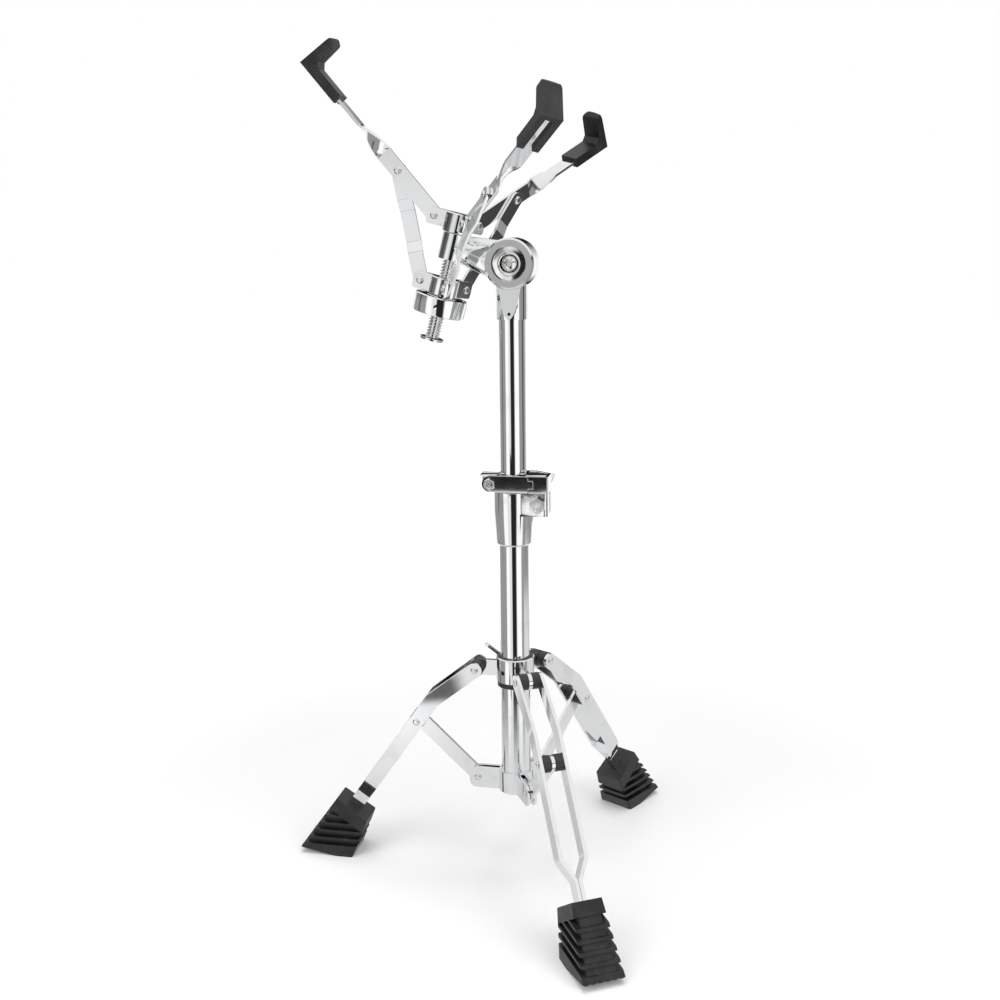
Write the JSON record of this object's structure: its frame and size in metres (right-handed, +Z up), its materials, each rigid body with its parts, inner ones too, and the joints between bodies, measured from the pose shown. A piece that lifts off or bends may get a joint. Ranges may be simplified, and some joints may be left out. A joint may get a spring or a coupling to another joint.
{
  "type": "snare drum stand",
  "caption": "Folding snare drum stand: chromed tripod, height-adjustable pole, disc tilter and a three-arm basket with rubber tips that grips a drum.",
  "frame": {"origin": "floor level under the pole axis", "axes": "+Z up along the pole, +Y along the tilter's axis towards the back, -X towards the basket"},
  "size_m": [0.3115, 0.3592, 0.7042],
  "materials": {
    "chrome_plate": "polished",
    "bright_steel": "bright",
    "black_rubber": "matte",
    "black_nylon": "satin"
  },
  "bodies": {
    "base": {"lower_tube": "chrome_plate", "bottom_bracket": "chrome_plate", "bracket_rivets": "bright_steel", "height_sleeve": "chrome_plate", "sleeve_bush": "black_nylon", "clamp_bolt": "bright_steel"},
    "brace_left": {"left_brace": "chrome_plate"},
    "leg_left": {"left_leg_straps": "chrome_plate", "left_leg_bushes": "black_nylon", "left_leg_rivets": "bright_steel", "left_foot": "black_rubber"},
    "brace_front": {"front_brace": "chrome_plate"},
    "leg_front": {"front_leg_straps": "chrome_plate", "front_leg_bushes": "black_nylon", "front_leg_rivets": "bright_steel", "front_foot": "black_rubber"},
    "brace_rear": {"rear_brace": "chrome_plate"},
    "leg_rear": {"rear_leg_straps": "chrome_plate", "rear_leg_bushes": "black_nylon", "rear_leg_rivets": "bright_steel", "rear_foot": "black_rubber"},
    "collar": {"leg_collar": "chrome_plate", "collar_bush": "black_nylon"},
    "collar_wing_bolt": {"collar_wing_bolt": "bright_steel"},
    "clamp_wing_nut": {"clamp_wing_nut": "bright_steel"},
    "memory_lock": {"lock_front_jaw": "chrome_plate", "lock_rear_jaw": "chrome_plate", "lock_screw": "bright_steel", "lock_nut": "bright_steel"},
    "guide": {"tube_guide": "black_nylon"},
    "upper_pole": {"upper_tube": "chrome_plate", "tilter_socket": "chrome_plate", "socket_pin": "bright_steel", "tilter_bolt": "bright_steel"},
    "tilter_wing_nut": {"tilter_wing_nut": "bright_steel"},
    "tilter": {"tilter_arm": "chrome_plate", "threaded_rod": "bright_steel", "rod_end_disc": "bright_steel", "upper_hub": "chrome_plate", "upper_hub_rivets": "bright_steel"},
    "lower_hub": {"lower_hub": "chrome_plate", "lower_hub_rivets": "bright_steel"},
    "ring_nut": {"ring_nut": "chrome_plate"},
    "arm_left": {"left_basket_arm": "chrome_plate", "left_basket_tip": "black_rubber", "left_basket_arm_rivet": "bright_steel"},
    "link_left": {"left_basket_link": "chrome_plate"},
    "arm_front": {"front_basket_arm": "chrome_plate", "front_basket_tip": "black_rubber", "front_basket_arm_rivet": "bright_steel"},
    "link_front": {"front_basket_link": "chrome_plate"},
    "arm_rear": {"rear_basket_arm": "chrome_plate", "rear_basket_tip": "black_rubber", "rear_basket_arm_rivet": "bright_steel"},
    "link_rear": {"rear_basket_link": "chrome_plate"}
  },
  "joints": [
    {"name": "fold_left", "type": "hinge", "parent": "base", "child": "brace_left", "pos_m": [-0.0337, 0, 0.082], "axis": [0, 1, 0], "range_deg": [0, 35]},
    {"name": "knee_left", "type": "hinge", "parent": "brace_left", "child": "leg_left", "pos_m": [-0.0868, 0, 0.133], "axis": [0, -1, 0], "range_deg": [0, 70]},
    {"name": "fold_front", "type": "hinge", "parent": "base", "child": "brace_front", "pos_m": [0.01685, -0.02918, 0.082], "axis": [-0.866, -0.5, 0], "range_deg": [0, 35]},
    {"name": "knee_front", "type": "hinge", "parent": "brace_front", "child": "leg_front", "pos_m": [0.0434, -0.07517, 0.133], "axis": [0.866, 0.5, 0], "range_deg": [0, 70]},
    {"name": "fold_rear", "type": "hinge", "parent": "base", "child": "brace_rear", "pos_m": [0.01685, 0.02918, 0.082], "axis": [0.866, -0.5, 0], "range_deg": [0, 35]},
    {"name": "knee_rear", "type": "hinge", "parent": "brace_rear", "child": "leg_rear", "pos_m": [0.0434, 0.07517, 0.133], "axis": [-0.866, 0.5, 0], "range_deg": [0, 70]},
    {"name": "collar_level", "type": "hinge", "parent": "leg_left", "child": "collar", "pos_m": [-0.0337, 0, 0.184], "axis": [0, -1, 0], "range_deg": [-35, 0]},
    {"name": "collar_wing_bolt_turn", "type": "hinge", "parent": "collar", "child": "collar_wing_bolt", "pos_m": [-0.011, 0.01905, 0.184], "axis": [-0.5, 0.866, 0], "continuous": true},
    {"name": "clamp_wing_nut_turn", "type": "hinge", "parent": "base", "child": "clamp_wing_nut", "pos_m": [0.0228, 0.014, 0.3323], "axis": [0, 1, 0], "continuous": true},
    {"name": "memory_lock_slide", "type": "slide", "parent": "base", "child": "memory_lock", "axis": [0, 0, 1], "range_m": [0, 0.045]},
    {"name": "height_slide", "type": "slide", "parent": "base", "child": "guide", "axis": [0, 0, 1], "range_m": [-0.08, 0.1]},
    {"name": "pole_swivel", "type": "hinge", "parent": "guide", "child": "upper_pole", "pos_m": [0, 0, 0.176], "axis": [0, 0, 1], "continuous": true},
    {"name": "tilter_wing_nut_turn", "type": "hinge", "parent": "upper_pole", "child": "tilter_wing_nut", "pos_m": [0, 0.016, 0.5278], "axis": [0, 1, 0], "continuous": true},
    {"name": "tilt", "type": "hinge", "parent": "upper_pole", "child": "tilter", "pos_m": [0, 0.003, 0.5278], "axis": [0, 1, 0], "range_deg": [-20, 60]},
    {"name": "hub_slide", "type": "slide", "parent": "tilter", "child": "lower_hub", "axis": [0.2588, 0, 0.9659], "range_m": [-0.008, 0.005]},
    {"name": "ring_nut_turn", "type": "hinge", "parent": "lower_hub", "child": "ring_nut", "pos_m": [-0.05823, 0, 0.5021], "axis": [0.2588, 0, 0.9659], "range_deg": [-1156, 724]},
    {"name": "arm_swing_left", "type": "hinge", "parent": "tilter", "child": "arm_left", "pos_m": [-0.06225, 0, 0.56633], "axis": [0, 1, 0], "range_deg": [-16.6, 10.4]},
    {"name": "link_swing_left", "type": "hinge", "parent": "lower_hub", "child": "link_left", "pos_m": [-0.07596, 0, 0.51514], "axis": [0, 1, 0], "range_deg": [-5.3, 3.4]},
    {"name": "arm_swing_front", "type": "hinge", "parent": "tilter", "child": "arm_front", "pos_m": [-0.03254, -0.01775, 0.55837], "axis": [-0.8365, -0.5, 0.2241], "range_deg": [-16.6, 10.4]},
    {"name": "link_swing_front", "type": "hinge", "parent": "lower_hub", "child": "link_front", "pos_m": [-0.04626, -0.01775, 0.50718], "axis": [-0.8365, -0.5, 0.2241], "range_deg": [-5.3, 3.4]},
    {"name": "arm_swing_rear", "type": "hinge", "parent": "tilter", "child": "arm_rear", "pos_m": [-0.03254, 0.01775, 0.55837], "axis": [0.8365, -0.5, -0.2241], "range_deg": [-16.6, 10.4]},
    {"name": "link_swing_rear", "type": "hinge", "parent": "lower_hub", "child": "link_rear", "pos_m": [-0.04626, 0.01775, 0.50718], "axis": [0.8365, -0.5, -0.2241], "range_deg": [-5.3, 3.4]}
  ],
  "couplings": [
    {"joint": "knee_left", "follows": "fold_left", "ratio": 2},
    {"joint": "fold_front", "follows": "fold_left", "ratio": 1},
    {"joint": "knee_front", "follows": "fold_left", "ratio": 2},
    {"joint": "fold_rear", "follows": "fold_left", "ratio": 1},
    {"joint": "knee_rear", "follows": "fold_left", "ratio": 2},
    {"joint": "collar_level", "follows": "fold_left", "ratio": -1},
    {"joint": "ring_nut_turn", "follows": "hub_slide", "rad_per_m": 2513.3},
    {"joint": "arm_swing_left", "follows": "hub_slide", "rad_per_m": 35.884},
    {"joint": "link_swing_left", "follows": "hub_slide", "rad_per_m": 11.292},
    {"joint": "arm_swing_front", "follows": "hub_slide", "rad_per_m": 35.884},
    {"joint": "link_swing_front", "follows": "hub_slide", "rad_per_m": 11.292},
    {"joint": "arm_swing_rear", "follows": "hub_slide", "rad_per_m": 35.884},
    {"joint": "link_swing_rear", "follows": "hub_slide", "rad_per_m": 11.292}
  ]
}
